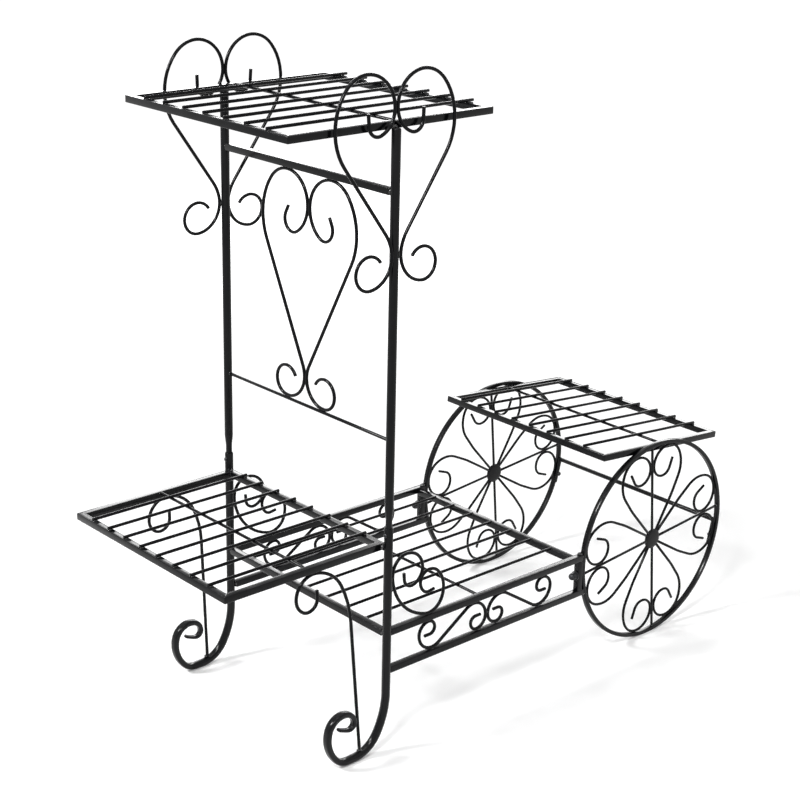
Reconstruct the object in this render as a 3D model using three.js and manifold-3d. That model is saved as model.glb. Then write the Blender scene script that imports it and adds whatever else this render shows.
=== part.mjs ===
/*
 * Flower cart stand: a welded steel plant stand in the outline of a push cart.
 * Two tall posts carry the top tray and plug into two legs whose feet curl up in scrolls. A low tray
 * reaches out in front of the legs, a middle tray runs back to two scrolled wheels, and a sloping tray
 * hangs between the wheels. The wheels are bolted at their rims, so nothing on the stand turns.
 *
 * Millimetres, +Z up. X runs along the cart from the low tray to the wheels, Y runs across it.
 * Every station along X is measured from the axis of the tall posts; the whole stand is moved at the
 * end, so that the origin lies on the floor under the middle of the stand.
 */
import * as THREE from "three";
import { mergeVertices } from "three/addons/utils/BufferGeometryUtils.js";
import Module from "manifold-3d";

const wasm = await Module();
wasm.setup();

// ---------------------------------------------------------------- stock
const railSize = 8; // square tube of the trays, the side rails and the crossbar
const postDiameter = 10; // round tube of the posts and the legs
const postWall = 1;
const wireDiameter = 3.5; // wire of the hearts, the braces and the side scrolls
const slatDiameter = 3.2; // wire of the slats and of the rods under them
const spokeDiameter = 3; // wire of the wheels
const crossTubeDiameter = 6;
const rimDepth = 5; // the wheel rim, measured along the radius
const rimWidth = 6; // and across it
const seatGap = 0.3; // clearance wherever one piece rests on another
const weldSink = 0.5; // how far wires that are fused at a crossing run into each other

// ---------------------------------------------------------------- main sizes
const trayWidth = 280;

const leftTrayLength = 216.5;
const leftTrayTop = 253;
const leftTraySlats = 8;

const topTrayLength = 276.5;
const topTrayOffset = 3.5; // its middle lies this far from the posts, towards the wheels
const topTrayTop = 715.4;
const postRecess = 6.4; // the post ends this far below the top of the top tray, beside its rail
const topTraySlats = 7;
const topSlatOverhang = 3; // the top slats stand out over the end rail on the wheel side

const middleTrayLength = 312.4; // from the post axis to the outer face of the end rail
const middleTrayTop = 148.6;
const middleTraySlats = 7;
const middleRodStation = 147; // where the rod crosses under its slats
const endRailDrop = 2.3; // the rail between the wheels lies this far below the side rails
const lowerRailTop = 101.9;
const endPostSetback = 6; // the outer face of the end posts lies this far behind the middle tray

const wheelTraySetback = 36; // the wheel tray begins this far behind the end posts
const wheelTrayLength = 215.5;
const wheelTrayTop = 267.8; // at its high end, nearest to the posts
const wheelTraySlope = 4.94; // degrees down towards the back
const wheelTraySlats = 8;
const wheelSlatShift = 5.5; // its slats are welded this far towards the far side
const slatInset = 1.4; // the slats stop this far inside the outline of their frame

const jointHeight = 272; // the mouth of the leg, where the post plugs in
const plugDepth = 24;
const neckLength = 10; // the bare neck of the plug above the mouth
const shoulderLength = 13; // the cone between the neck and the full post
const crossbarDrop = 71.9; // from the top of the top tray to the middle of the crossbar
const heartRodHeight = 373.2; // middle of the rod under the centre heart
const centreHeartLean = 6.5; // its top stands this far towards the near side
const sideHeartRise = 52.2; // the side hearts stand this far above the top tray
const lobeDepth = 50; // the waist lies at least this far below the inner ends of the lobes
const gripAngle = 30; // degrees round the post, from the middle of the stand's side outwards

const wheelRadius = 132.2;
const wheelTurn = 5.4; // degrees that the spokes lean towards the posts
const hubRadius = 13;
const hubThickness = 4.4;
const hubEdge = 3.2;

const braceStation = 37.5; // where the brace stands on the foot
const boltDiameter = 4; // holds the wheel rim to the end post
const boltHeadDiameter = 9.6;
const boltHeadLength = 11;
const boltHeight = 122.5;
const screwDiameter = 3; // holds the cross tube to the wheel rim
const screwHeadDiameter = 6;
const screwHeadLength = 2.4;
const crossTubeHeight = 122;
const tabLength = 36; // flattened end of the cross tube, bent down along the rim
const tabWidth = 5;
const tabThickness = 2.4;
const screwDrop = 21; // from the axis of the cross tube down to its screw

// ---------------------------------------------------------------- bends, by the radius of the axis
const ankleRadius = 95; // the foot, from the upright down to its tip
const heelRadius = 38;
const soleRun = 10;
const ballRadius = 22;
const toeRadius = 44;
const instepRadius = 36;
const footOverRadius = 20;
const footBackRadius = 15;
const footEyeRadius = 7;
const footTipRadius = 28;
const footTipRun = 8;

const sideHeartTip = 13; // the side heart, from the inner end of its lobe to the eye of its curl
const sideHeartHook = 12;
const sideHeartInner = 28;
const sideHeartLobe = 36;
const sideHeartShoulder = 62.3;
const sideHeartWaist = 46.9;
const sideHeartCurl = 31.8;
const sideHeartEye = 18;

const centreHeartTip = 9; // the centre heart, likewise; its size is then set by the rod and crossbar
const centreHeartHook = 14.1;
const centreHeartLobe = 36.2;
const centreHeartShoulder = 66.4;
const centreHeartWaist = 45.5;
const centreHeartCurl = 29.3;
const centreHeartEye = 17.6;

const cornerTail = 8.5; // the corner scroll, from its upper eye round to its lower one
const cornerUpperEye = 11;
const cornerUpperCurl = 18;
const cornerUpperTurn = 24;
const cornerCrown = 20;
const cornerFlank = 38;
const cornerBack = 66;
const cornerHeel = 21.5;
const cornerSole = 33;
const cornerRise = 18;
const cornerLowerTurn = 13;
const cornerLowerCurl = 16;
const cornerLowerEye = 10;
const cornerTip = 7.5;

const braceTip = 9; // the brace, from the end of its hook to its long straight
const braceEye = 13;
const braceHook = 19;
const braceCrown = 24.5;
const braceShoulder = 45;
const braceFlank = 120;

// ---------------------------------------------------------------- facets
const DEGREE = Math.PI / 180;
const bendStep = 27 * DEGREE; // one facet of a bent wire
const fineStep = 1 * DEGREE; // used only to measure a wire
const wireSides = 6;
const spokeSides = 5;
const postSides = 12;
const rimFacets = 64;
const hubFacets = 16;
const fastenerFacets = 12;

// ---------------------------------------------------------------- places worked out from the sizes
const postRadius = postDiameter / 2;
const wireRadius = wireDiameter / 2;
const slatRadius = slatDiameter / 2;
const spokeRadius = spokeDiameter / 2;
const trayHalf = trayWidth / 2;
const postTop = topTrayTop - postRecess;
const crossbarHeight = topTrayTop - crossbarDrop;
const sideHeartTop = topTrayTop + sideHeartRise;
const rimStation = middleTrayLength + endPostSetback; // where the wheel rims touch the end posts
const wheelTrayStart = rimStation + wheelTraySetback;
const postY = trayHalf + seatGap + postRadius; // the trays lie between the posts
const wheelY = trayHalf + seatGap + rimWidth / 2; // and between the wheel rims
const betweenPosts = 2 * (postY - postRadius - seatGap);
const betweenRails = 2 * (wheelY - railSize / 2 - seatGap);
const wheelX = rimStation + seatGap + wheelRadius;
const rimInner = wheelRadius - rimDepth;
const railStart = postRadius + seatGap;
const upperRailUnderside = middleTrayTop - railSize;
const pairGap = seatGap / 2; // each of two wires that touch keeps half of the clearance

// ---------------------------------------------------------------- bent wire
// A wire is bent on a jig: it sets out from a point with a heading and runs through straights and
// bends. A positive bend turns anticlockwise.
const straight = (length) => ({ length, turn: 0 });
const bend = (radius, degrees) => ({
  length: radius * Math.abs(degrees) * DEGREE,
  turn: degrees * DEGREE,
});
const scaled = (moves, factor) => moves.map(({ length, turn }) => ({ length: length * factor, turn }));

// Follows the moves and returns the stations of the wire in its own plane (u, v).
function follow(moves, heading, step, start = { u: 0, v: 0 }) {
  const stations = [{ ...start, heading, run: 0 }];
  for (const { length, turn } of moves) {
    const from = stations.at(-1);
    const pieces = Math.max(1, Math.ceil(Math.abs(turn) / step - 1e-6));
    for (let i = 1; i <= pieces; i++) {
      const angle = (turn * i) / pieces;
      const chord = turn ? ((2 * length) / turn) * Math.sin(angle / 2) : length;
      const direction = from.heading + angle / 2;
      stations.push({
        u: from.u + chord * Math.cos(direction),
        v: from.v + chord * Math.sin(direction),
        heading: from.heading + angle,
        run: from.run + (length * i) / pieces,
      });
    }
  }
  return stations;
}

// The least and greatest u and v of a wire's centre line.
function extent(moves, heading) {
  const stations = follow(moves, heading, fineStep);
  const us = stations.map((s) => s.u);
  const vs = stations.map((s) => s.v);
  return {
    left: Math.min(...us),
    right: Math.max(...us),
    bottom: Math.min(...vs),
    top: Math.max(...vs),
    end: stations.at(-1),
  };
}

// The root of a rising function between two bounds, by halving.
function solve(rising, low, high) {
  for (let i = 0; i < 50; i++) {
    const middle = (low + high) / 2;
    if (rising(middle) < 0) low = middle;
    else high = middle;
  }
  return (low + high) / 2;
}

// A curve that has points at the stations of a wire and nowhere else, so that the long straights
// cost no facets.
class StationCurve extends THREE.Curve {
  constructor(stations, place) {
    super();
    this.points = stations.map(({ u, v }) => place(u, v));
    this.tangents = stations.map(({ u, v, heading }, i) =>
      place(u + Math.cos(heading), v + Math.sin(heading)).sub(this.points[i]).normalize(),
    );
  }

  getPointAt(t, target = new THREE.Vector3()) {
    return target.copy(this.points[Math.round(t * (this.points.length - 1))]);
  }

  getTangentAt(t, target = new THREE.Vector3()) {
    return target.copy(this.tangents[Math.round(t * (this.points.length - 1))]);
  }
}

function polygon(radius, sides) {
  const corner = (i) => ((2 * i + 1) * Math.PI) / sides;
  return new THREE.Shape(
    Array.from({ length: sides }, (_, i) =>
      new THREE.Vector2(radius * Math.cos(corner(i)), radius * Math.sin(corner(i))),
    ),
  );
}

// The solid of a wire that runs through the stations. place(u, v) sets the wire's plane in space.
function wire(stations, place, radius, sides) {
  const path = new StationCurve(stations, place);
  return new THREE.ExtrudeGeometry(polygon(radius, sides), {
    steps: stations.length - 1,
    extrudePath: path,
  });
}

const upright = (u, v) => new THREE.Vector3(u, 0, v); // a wire that lies along the cart
const across = (u, v) => new THREE.Vector3(0, u, v); // a wire that lies across it

// ---------------------------------------------------------------- joining and cutting
function toSolid(geometry) {
  const bare = geometry.clone();
  bare.deleteAttribute("normal");
  bare.deleteAttribute("uv");
  const merged = mergeVertices(bare, 1e-4);
  const triVerts = new Uint32Array(merged.index.array);
  const vertProperties = merged.getAttribute("position").array;
  return new wasm.Manifold(new wasm.Mesh({ numProp: 3, vertProperties, triVerts }));
}

function toGeometry(solid) {
  const mesh = solid.getMesh();
  return new THREE.BufferGeometry()
    .setAttribute("position", new THREE.BufferAttribute(mesh.vertProperties, 3))
    .setIndex(new THREE.BufferAttribute(mesh.triVerts, 1));
}

const joined = (...geometries) => toGeometry(geometries.map(toSolid).reduce((a, b) => a.add(b)));
const cut = (body, ...tools) => toGeometry(tools.map(toSolid).reduce((a, b) => a.subtract(b), toSolid(body)));

// A round bar about an axis: "x", "y" or "z".
function bar(radius, length, sides, axis) {
  const geometry = new THREE.CylinderGeometry(radius, radius, length, sides, 1, false, Math.PI / sides);
  if (axis === "x") geometry.rotateZ(-Math.PI / 2);
  if (axis === "z") geometry.rotateX(Math.PI / 2);
  return geometry;
}

// A body turned about the Z axis from [radius, height] pairs, listed upwards.
function turned(profile, sides) {
  const points = profile.map(([radius, height]) => new THREE.Vector2(radius, height));
  return new THREE.LatheGeometry(points, sides).rotateX(Math.PI / 2);
}

// ---------------------------------------------------------------- trays
// The welded square-tube frame of a tray; x runs from 0 to its length, its top face lies at z = 0.
function trayFrame(length, width) {
  const outline = new THREE.Shape();
  outline.moveTo(0, -width / 2).lineTo(length, -width / 2).lineTo(length, width / 2).lineTo(0, width / 2);
  const opening = new THREE.Path();
  const side = width / 2 - railSize;
  opening.moveTo(railSize, -side).lineTo(railSize, side);
  opening.lineTo(length - railSize, side).lineTo(length - railSize, -side);
  outline.holes.push(opening);
  return new THREE.ExtrudeGeometry(outline, { depth: railSize, bevelEnabled: false }).translate(0, 0, -railSize);
}

// The slats of a tray, fused to the rod that crosses under them. They run from x = from to x = to
// with their middles at height z.
function slatGrid({ count, from, to, z, width, rodLength, rodAt = (from + to) / 2, shift = 0 }) {
  const pitch = width / (count + 1);
  const length = to - from;
  const middle = (from + to) / 2;
  const slats = Array.from({ length: count }, (_, i) =>
    bar(slatRadius, length, wireSides, "x").translate(middle, pitch * (i + 1) - width / 2 + shift, z),
  );
  const rod = bar(slatRadius, rodLength, wireSides, "y").translate(rodAt, 0, z - slatDiameter + weldSink);
  return joined(...slats, rod);
}

const restingHeight = seatGap + slatRadius; // slats that lie on top of their frame
const insideFrame = trayWidth - 2 * railSize - 2 * seatGap;

// ---------------------------------------------------------------- posts and legs
const boreRadius = postRadius - postWall;
const plugRadius = boreRadius - seatGap;
const capRadius = postRadius - postWall;

// The upper post: its lower end is drawn down to a plug that slides into the leg.
function upperPost() {
  const neckTop = jointHeight + neckLength;
  const profile = [
    [0, jointHeight - plugDepth + seatGap],
    [plugRadius, jointHeight - plugDepth + seatGap],
    [plugRadius, neckTop],
    [postRadius, neckTop + shoulderLength],
    [postRadius, postTop - postWall],
    [capRadius, postTop],
    [0, postTop],
  ];
  return turned(profile, postSides);
}

// The foot: the leg leaves the upright, sweeps to the floor and curls back over itself.
const footMoves = [
  bend(ankleRadius, -31),
  bend(heelRadius, -59),
  straight(soleRun),
  bend(ballRadius, -45),
  bend(toeRadius, -35),
  bend(instepRadius, -25),
  bend(footOverRadius, -100),
  bend(footBackRadius, -60),
  bend(footEyeRadius, -105),
  bend(footTipRadius, -12),
  straight(footTipRun),
];
const footThickness = 0.75; // the tube is pressed flat in the scroll, to this share of its diameter
const pressFrom = 0.3; // the shares of the foot between which it is pressed
const pressTo = 0.5;
const tipThickness = 0.4;
const tipWidth = 0.7;
const tipShare = 0.25; // the last part of the foot, where it draws out to the tip

// The station of a bent tube at a given run along it.
function stationAt(stations, run) {
  const found = stations.findIndex((s) => s.run >= run);
  const next = found < 0 ? stations.length - 1 : Math.max(1, found);
  const a = stations[next - 1];
  const b = stations[next];
  const share = (run - a.run) / (b.run - a.run);
  return {
    u: a.u + (b.u - a.u) * share,
    v: a.v + (b.v - a.v) * share,
    heading: a.heading + (b.heading - a.heading) * share,
  };
}

// How flat and how narrow the leg is at a share of the way along its foot.
function footSection(share) {
  const press = THREE.MathUtils.smoothstep(share, pressFrom, pressTo);
  const draw = THREE.MathUtils.smoothstep(share, 1 - tipShare, 1);
  const flat = THREE.MathUtils.lerp(THREE.MathUtils.lerp(1, footThickness, press), tipThickness, draw);
  return { flat, wide: THREE.MathUtils.lerp(1, tipWidth, draw) };
}

// The leg is turned straight, with the socket bored in its mouth, and then bent along its path.
function legStations(straightRun) {
  return follow([straight(straightRun), ...footMoves], -90 * DEGREE, bendStep, { u: 0, v: jointHeight });
}

function bentLeg(straightRun) {
  const stations = legStations(straightRun);
  const length = stations.at(-1).run;
  const profile = [
    [0, plugDepth],
    [boreRadius, plugDepth],
    [boreRadius, 0],
    ...stations.map(({ run }) => [postRadius, run]),
    [0, length],
  ];
  const points = profile.map(([radius, run]) => new THREE.Vector2(radius, run));
  const geometry = new THREE.LatheGeometry(points, postSides, Math.PI / postSides);
  const position = geometry.getAttribute("position");
  for (let i = 0; i < position.count; i++) {
    const run = position.getY(i);
    const { u, v, heading } = stationAt(stations, run);
    const share = Math.max(0, run - straightRun) / (length - straightRun);
    const { flat, wide } = footSection(share);
    const inPlane = position.getX(i) * flat;
    const sideways = position.getZ(i) * wide;
    position.setXYZ(i, u - Math.sin(heading) * inPlane, sideways, v + Math.cos(heading) * inPlane);
  }
  return geometry;
}

// The straight run is what the foot leaves of the height of the joint, so that the foot just
// touches the floor.
function legRun() {
  const trial = jointHeight / 2;
  const geometry = bentLeg(trial);
  geometry.computeBoundingBox();
  return trial + geometry.boundingBox.min.z;
}
const legStraight = legRun();

// The height of the upper side of the foot at a distance in front of the post axis.
function footTop(distance) {
  const stations = legStations(legStraight).filter((s) => s.run > legStraight);
  const end = stations.findIndex((s) => s.u < -distance);
  const a = stations[end - 1];
  const b = stations[end];
  const share = (distance + a.u) / (a.u - b.u);
  const middle = a.v + (b.v - a.v) * share;
  const slope = Math.abs(Math.cos((a.heading + b.heading) / 2));
  return middle + postRadius / slope;
}

// ---------------------------------------------------------------- hearts
// One half of a heart: the lobe runs from its inner end over the top and out to the shoulder, a
// straight leads down to the waist, and the curl rounds off below it. u is measured from the middle
// line of the heart. Bends end where the wire runs straight up or down, so that a facet's corner lies
// where it touches its twin or the post.
const sideHeart = {
  heading: -93 * DEGREE,
  lobe: [
    straight(sideHeartTip),
    bend(sideHeartHook, -107),
    bend(sideHeartInner, -70),
    bend(sideHeartLobe, -139.9),
    bend(sideHeartShoulder, -75.9),
  ],
  curl: [
    bend(sideHeartWaist, 22.6),
    bend(sideHeartCurl, 13.2),
    bend(sideHeartCurl, 84.9),
    bend(sideHeartEye, 242.5),
  ],
};
const centreHeart = {
  heading: -62 * DEGREE,
  lobe: [
    straight(centreHeartTip),
    bend(centreHeartHook, -147.6),
    bend(centreHeartLobe, -60.4),
    bend(centreHeartLobe, -140.7),
    bend(centreHeartShoulder, -66.5),
  ],
  curl: [
    bend(centreHeartWaist, 3.6),
    bend(centreHeartCurl, 23.6),
    bend(centreHeartCurl, 101.7),
    bend(centreHeartEye, 231.5),
  ],
};

// Draws one half of a heart: its lobe just clears its twin, its waist keeps the distance given from
// the middle line, and its top lies at the height given. factor sets its size.
function heartHalf({ heading, lobe, curl }, waist, top, factor) {
  const sizedLobe = scaled(lobe, factor);
  const sizedCurl = scaled(curl, factor);
  const lobeBox = extent(sizedLobe, heading);
  const start = { u: wireRadius + pairGap - lobeBox.left, v: top - lobeBox.top };
  const curlBox = extent(sizedCurl, lobeBox.end.heading);
  const reach = start.u + lobeBox.end.u + curlBox.left - waist;
  const run = -reach / Math.cos(lobeBox.end.heading);
  return { moves: [...sizedLobe, straight(run), ...sizedCurl], heading, start };
}

// The height at which a half heart comes nearest to the middle line below its lobe.
function waistHeight({ moves, heading, start }) {
  const below = follow(moves, heading, fineStep, start).filter((s) => s.v < start.v - lobeDepth);
  return below.reduce((a, b) => (b.u < a.u ? b : a)).v;
}

const heartStations = ({ moves, heading, start }) => follow(moves, heading, bendStep, start);
const touchingTwin = wireRadius + pairGap;
const besidePost = postRadius + seatGap + wireRadius;

// The waist of a side heart grips the post a little outside its middle, and its lobes meet above the
// post, so the plane of the heart leans in.
const gripOut = besidePost * Math.sin(gripAngle * DEGREE);
const sideHalf = heartHalf(sideHeart, besidePost * Math.cos(gripAngle * DEGREE), sideHeartTop - wireRadius, 1);
const sideWaist = waistHeight(sideHalf);
const heartLean = gripOut / (topTrayTop - sideWaist);

// half is -1 for the left half and 1 for the right half; side is -1 on the near side.
function besideHeart(side, half) {
  return (u, v) => new THREE.Vector3(half * u, side * (gripOut - heartLean * (v - sideWaist)), v);
}

// The centre heart hangs under the crossbar and stands on the rod below it.
const centreHeartTop = crossbarHeight - railSize / 2 - seatGap - wireRadius;
const centreHeartBottom = heartRodHeight + wireDiameter + seatGap;

function centreHalf() {
  const drawn = (factor) => heartHalf(centreHeart, touchingTwin, centreHeartTop, factor);
  const spare = (factor) => {
    const { moves, heading, start } = drawn(factor);
    return centreHeartBottom - (start.v + extent(moves, heading).bottom);
  };
  return drawn(solve(spare, 0.3, 3));
}

// ---------------------------------------------------------------- side scrolls
// The scroll that fills the corner between the leg and the middle tray.
const cornerScroll = {
  heading: -85 * DEGREE,
  moves: [
    straight(cornerTail),
    bend(cornerUpperEye, 100),
    bend(cornerUpperCurl, 80),
    bend(cornerUpperTurn, 90),
    bend(cornerCrown, 75),
    bend(cornerFlank, 20),
    bend(cornerBack, 67),
    bend(cornerHeel, 83),
    bend(cornerSole, 65),
    bend(cornerRise, 50),
    bend(cornerLowerTurn, 90),
    bend(cornerLowerCurl, 45),
    bend(cornerLowerEye, 50),
    straight(cornerTip),
  ],
};

function cornerStations() {
  const box = extent(cornerScroll.moves, cornerScroll.heading);
  const start = {
    u: postRadius + seatGap + wireRadius - box.left,
    v: middleTrayTop + seatGap + wireRadius - box.bottom,
  };
  return follow(cornerScroll.moves, cornerScroll.heading, bendStep, start);
}

// An S scroll stands between the two side rails. Its second half is its first half turned about.
const halfScroll = [
  straight(8),
  bend(7.5, 90),
  bend(9.5, 90),
  bend(14.3, 90),
  bend(20, 123),
  straight(25.9),
];
const turnedHalf = halfScroll.map(({ length, turn }) => ({ length, turn: -turn })).reverse();
const sScrollMoves = [...halfScroll, ...turnedHalf];

// The S scroll next to the bay's middle; side is -1 before the middle and 1 behind it.
function sScrollStations() {
  const box = extent(sScrollMoves, 0);
  const height = upperRailUnderside - lowerRailTop - 2 * seatGap - wireDiameter;
  const factor = height / (box.top - box.bottom);
  const start = {
    u: -box.right * factor - wireRadius - pairGap,
    v: lowerRailTop + seatGap + wireRadius - box.bottom * factor,
  };
  return follow(scaled(sScrollMoves, factor), 0, bendStep, start);
}
const bayMiddle = (postRadius + rimStation - railSize) / 2;

// ---------------------------------------------------------------- braces
// The brace hangs in a hook under the rail of the left tray and stands on the foot. Its plane leans,
// because the rail lies further in than the leg.
const brace = {
  heading: -88 * DEGREE,
  moves: [
    straight(braceTip),
    bend(braceEye, -125),
    bend(braceHook, -60),
    bend(braceCrown, -95),
    bend(braceShoulder, -55),
    bend(braceFlank, -23.5),
  ],
};

function braceStations() {
  const box = extent(brace.moves, brace.heading);
  const top = leftTrayTop - railSize - seatGap - wireRadius;
  const foot = footTop(braceStation - wireRadius) + seatGap;
  const slope = box.end.heading;
  const last = (foot - (top - box.top + box.end.v)) / Math.sin(slope);
  const start = { u: -braceStation - last * Math.cos(slope) - box.end.u, v: top - box.top };
  return follow([...brace.moves, straight(last)], brace.heading, bendStep, start);
}

// side is -1 for the near side and 1 for the far side.
function leaning(side) {
  const railY = trayHalf - railSize / 2;
  return (u, v) => new THREE.Vector3(u, side * (postY + ((railY - postY) * v) / leftTrayTop), v);
}

// ---------------------------------------------------------------- wheels
// A wheel scroll leaves the hub between two spokes, rounds the rim and curls back against its spoke.
// u is measured from the spoke, v along it from the middle of the wheel.
const scrollHeading = 54 * DEGREE;
const scrollRun = 58.4; // from the middle of the wheel to the first bend
const scrollMoves = [
  straight(scrollRun),
  bend(60, 5.3),
  straight(20),
  bend(35.8, 57),
  bend(25.3, 100),
  bend(21.3, 46),
  bend(16.5, 110),
  bend(12.7, 53),
  straight(12.7),
];

function wheelScrollStations() {
  const reach = Math.max(...follow(scrollMoves, scrollHeading, fineStep).map(({ u, v }) => Math.hypot(u, v)));
  const factor = (rimInner - seatGap - spokeRadius) / reach;
  const sized = scaled(scrollMoves, factor);
  const besideSpoke = (heading) => {
    const outer = follow(sized, heading, fineStep).filter(({ v }) => v > rimInner / 2);
    return spokeDiameter + seatGap - Math.min(...outer.map(({ u }) => u));
  };
  const heading = solve(besideSpoke, scrollHeading - Math.PI / 6, scrollHeading + Math.PI / 6);
  const hubSeat = hubRadius + seatGap;
  const start = { u: hubSeat * Math.cos(heading), v: hubSeat * Math.sin(heading) };
  sized[0] = straight(scrollRun * factor - hubSeat);
  return follow(sized, heading, bendStep, start);
}

// The rim has a flat facet at the floor, and holes for the bolt and for the cross tube's screw.
function wheelRim() {
  const corner = 1 / Math.cos(Math.PI / rimFacets);
  const inner = rimInner * corner;
  const outer = wheelRadius * corner;
  const half = rimWidth / 2;
  const profile = [
    new THREE.Vector2(inner, -half),
    new THREE.Vector2(outer, -half),
    new THREE.Vector2(outer, half),
    new THREE.Vector2(inner, half),
    new THREE.Vector2(inner, -half),
  ];
  const rim = new THREE.LatheGeometry(profile, rimFacets, Math.PI / rimFacets);
  const boltHole = bar(boltDiameter / 2 + seatGap, 4 * rimDepth, fastenerFacets, "x");
  boltHole.translate(-wheelRadius, 0, boltHeight - wheelRadius);
  const screwHole = bar(screwDiameter / 2 + seatGap, 2 * rimWidth, fastenerFacets, "y");
  const { x, z } = screwPlace();
  return cut(rim, boltHole, screwHole.translate(x - wheelX, 0, z - wheelRadius));
}

// The hub plate with the four straight spokes that are welded to its edge.
function hubWithSpokes() {
  const half = hubThickness / 2;
  const edge = hubEdge / 2;
  const profile = [
    [0, -half],
    [hubRadius * 0.5, -half],
    [hubRadius, -edge],
    [hubRadius, edge],
    [hubRadius * 0.5, half],
    [0, half],
  ];
  const plate = turned(profile, hubFacets).rotateX(Math.PI / 2);
  const inner = hubRadius - 2;
  const outer = rimInner - seatGap;
  const spokes = [0, 1, 2, 3].map((quarter) =>
    bar(spokeRadius, outer - inner, wireSides, "z")
      .translate(0, 0, (inner + outer) / 2)
      .rotateY((quarter * Math.PI) / 2),
  );
  return joined(plate, ...spokes);
}

// ---------------------------------------------------------------- cross tube and fasteners
const rimMiddle = wheelRadius - rimDepth / 2;

// The angle of a height on the back of the wheel, seen from the wheel's middle.
const rimAngle = (height) => Math.asin((height - wheelRadius) / rimMiddle);

function rimPoint(height) {
  return { x: wheelX + rimMiddle * Math.cos(rimAngle(height)), z: height };
}
const crossTubePlace = rimPoint(crossTubeHeight);

function screwPlace() {
  return rimPoint(crossTubeHeight - screwDrop);
}

// The cross tube with its two ends pressed flat and bent down along the insides of the rims.
function crossTube() {
  const length = trayWidth;
  const tube = bar(crossTubeDiameter / 2, length, fastenerFacets, "y");
  const lean = Math.PI / 2 - (Math.PI / 2 + rimAngle(crossTubeHeight - screwDrop));
  const tabs = [-1, 1].map((side) => {
    const tab = new THREE.BoxGeometry(tabWidth, tabThickness, tabLength);
    tab.translate(0, side * (length / 2 - tabThickness / 2), -tabLength / 2 + crossTubeDiameter / 4);
    tab.rotateY(lean);
    const hole = bar(screwDiameter / 2 + seatGap, 4 * tabThickness, fastenerFacets, "y");
    const { x, z } = screwPlace();
    hole.translate(x - crossTubePlace.x, (side * length) / 2, z - crossTubePlace.z);
    return cut(tab, hole);
  });
  return joined(tube, ...tabs);
}

// A screw from the inside of the stand through the tab into the rim; it points along +Y.
function crossTubeScrew() {
  const seat = -seatGap - tabThickness - seatGap; // measured from the inner face of the rim
  const head = screwHeadDiameter / 2;
  const profile = [
    [0, seat - screwHeadLength],
    [head * 0.55, seat - screwHeadLength],
    [head, seat - screwHeadLength * 0.4],
    [head, seat],
    [screwDiameter / 2, seat],
    [screwDiameter / 2, rimWidth],
    [0, rimWidth],
  ];
  return turned(profile, fastenerFacets).rotateX(-Math.PI / 2);
}

// The bolt with the domed head: it runs through the end post into the rim, along +X.
function wheelBolt() {
  const head = boltHeadDiameter / 2;
  const face = -railSize - seatGap; // the near face of the end post, measured from its outer face
  const profile = [
    [0, face - boltHeadLength],
    [head * 0.45, face - boltHeadLength * 0.94],
    [head * 0.8, face - boltHeadLength * 0.76],
    [head * 0.95, face - boltHeadLength * 0.5],
    [head * 0.95, face - boltHeadLength * 0.22],
    [head * 1.2, face - boltHeadLength * 0.2],
    [head * 1.2, face],
    [boltDiameter / 2, face],
    [boltDiameter / 2, seatGap + rimDepth],
    [0, seatGap + rimDepth],
  ];
  return turned(profile, fastenerFacets).rotateY(Math.PI / 2);
}

// ---------------------------------------------------------------- the stand
const stand = new THREE.Group();

function blackSteel() {
  return new THREE.MeshStandardMaterial({ color: 0x17181a, roughness: 0.32, metalness: 0.55 });
}

function zincSteel() {
  return new THREE.MeshStandardMaterial({ color: 0x2b2c2e, roughness: 0.28, metalness: 0.8 });
}

function add(name, geometry, parent = stand, material = blackSteel()) {
  const mesh = new THREE.Mesh(geometry, material);
  mesh.name = name;
  parent.add(mesh);
  return mesh;
}

function addBox(name, [x, y, z], [cx, cy, cz]) {
  add(name, new THREE.BoxGeometry(x, y, z)).position.set(cx, cy, cz);
}

// The distance along X at which a side rail meets the wheel rim at a height.
function rimFront(height) {
  const corner = wheelRadius / Math.cos(Math.PI / rimFacets);
  return wheelX - Math.sqrt(corner ** 2 - (height - wheelRadius) ** 2);
}

function addTray(name, options) {
  const { x, z, length, slope = 0, count, overhang = -slatInset, shift = 0 } = options;
  const tray = new THREE.Group();
  tray.position.set(x, 0, z);
  tray.rotation.y = slope * DEGREE;
  stand.add(tray);
  add(`${name}_tray_frame`, trayFrame(length, trayWidth), tray);
  const slats = {
    count,
    from: slatInset,
    to: length + overhang,
    z: restingHeight,
    width: trayWidth,
    rodLength: insideFrame,
    shift,
  };
  add(`${name}_tray_slats`, slatGrid(slats), tray);
}

function addTrays() {
  addTray("left", { x: -leftTrayLength, z: leftTrayTop, length: leftTrayLength, count: leftTraySlats });
  addTray("top", {
    x: topTrayOffset - topTrayLength / 2,
    z: topTrayTop,
    length: topTrayLength,
    count: topTraySlats,
    overhang: topSlatOverhang,
  });
  addTray("wheel", {
    x: wheelTrayStart,
    z: wheelTrayTop,
    length: wheelTrayLength,
    slope: wheelTraySlope,
    count: wheelTraySlats,
    shift: wheelSlatShift,
  });
}

// The middle tray is built between the legs and the end posts. Its slats lie level with the tops of
// the side rails: they butt against the rail between the legs and rest on the lower one at the wheels.
function addMiddleTray() {
  const middle = middleTrayTop - railSize / 2;
  const endRail = middleTrayLength - railSize / 2;
  addBox("middle_end_rail_left", [railSize, betweenPosts, railSize], [0, 0, middle]);
  addBox("middle_end_rail_right", [railSize, betweenRails, railSize], [endRail, 0, middle - endRailDrop]);
  const slats = {
    count: middleTraySlats,
    from: railSize / 2 + seatGap,
    to: middleTrayLength - railSize - seatGap,
    z: middleTrayTop - slatRadius,
    width: trayWidth,
    rodLength: betweenRails,
    rodAt: middleRodStation,
  };
  add("middle_tray_slats", slatGrid(slats));
}

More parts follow.
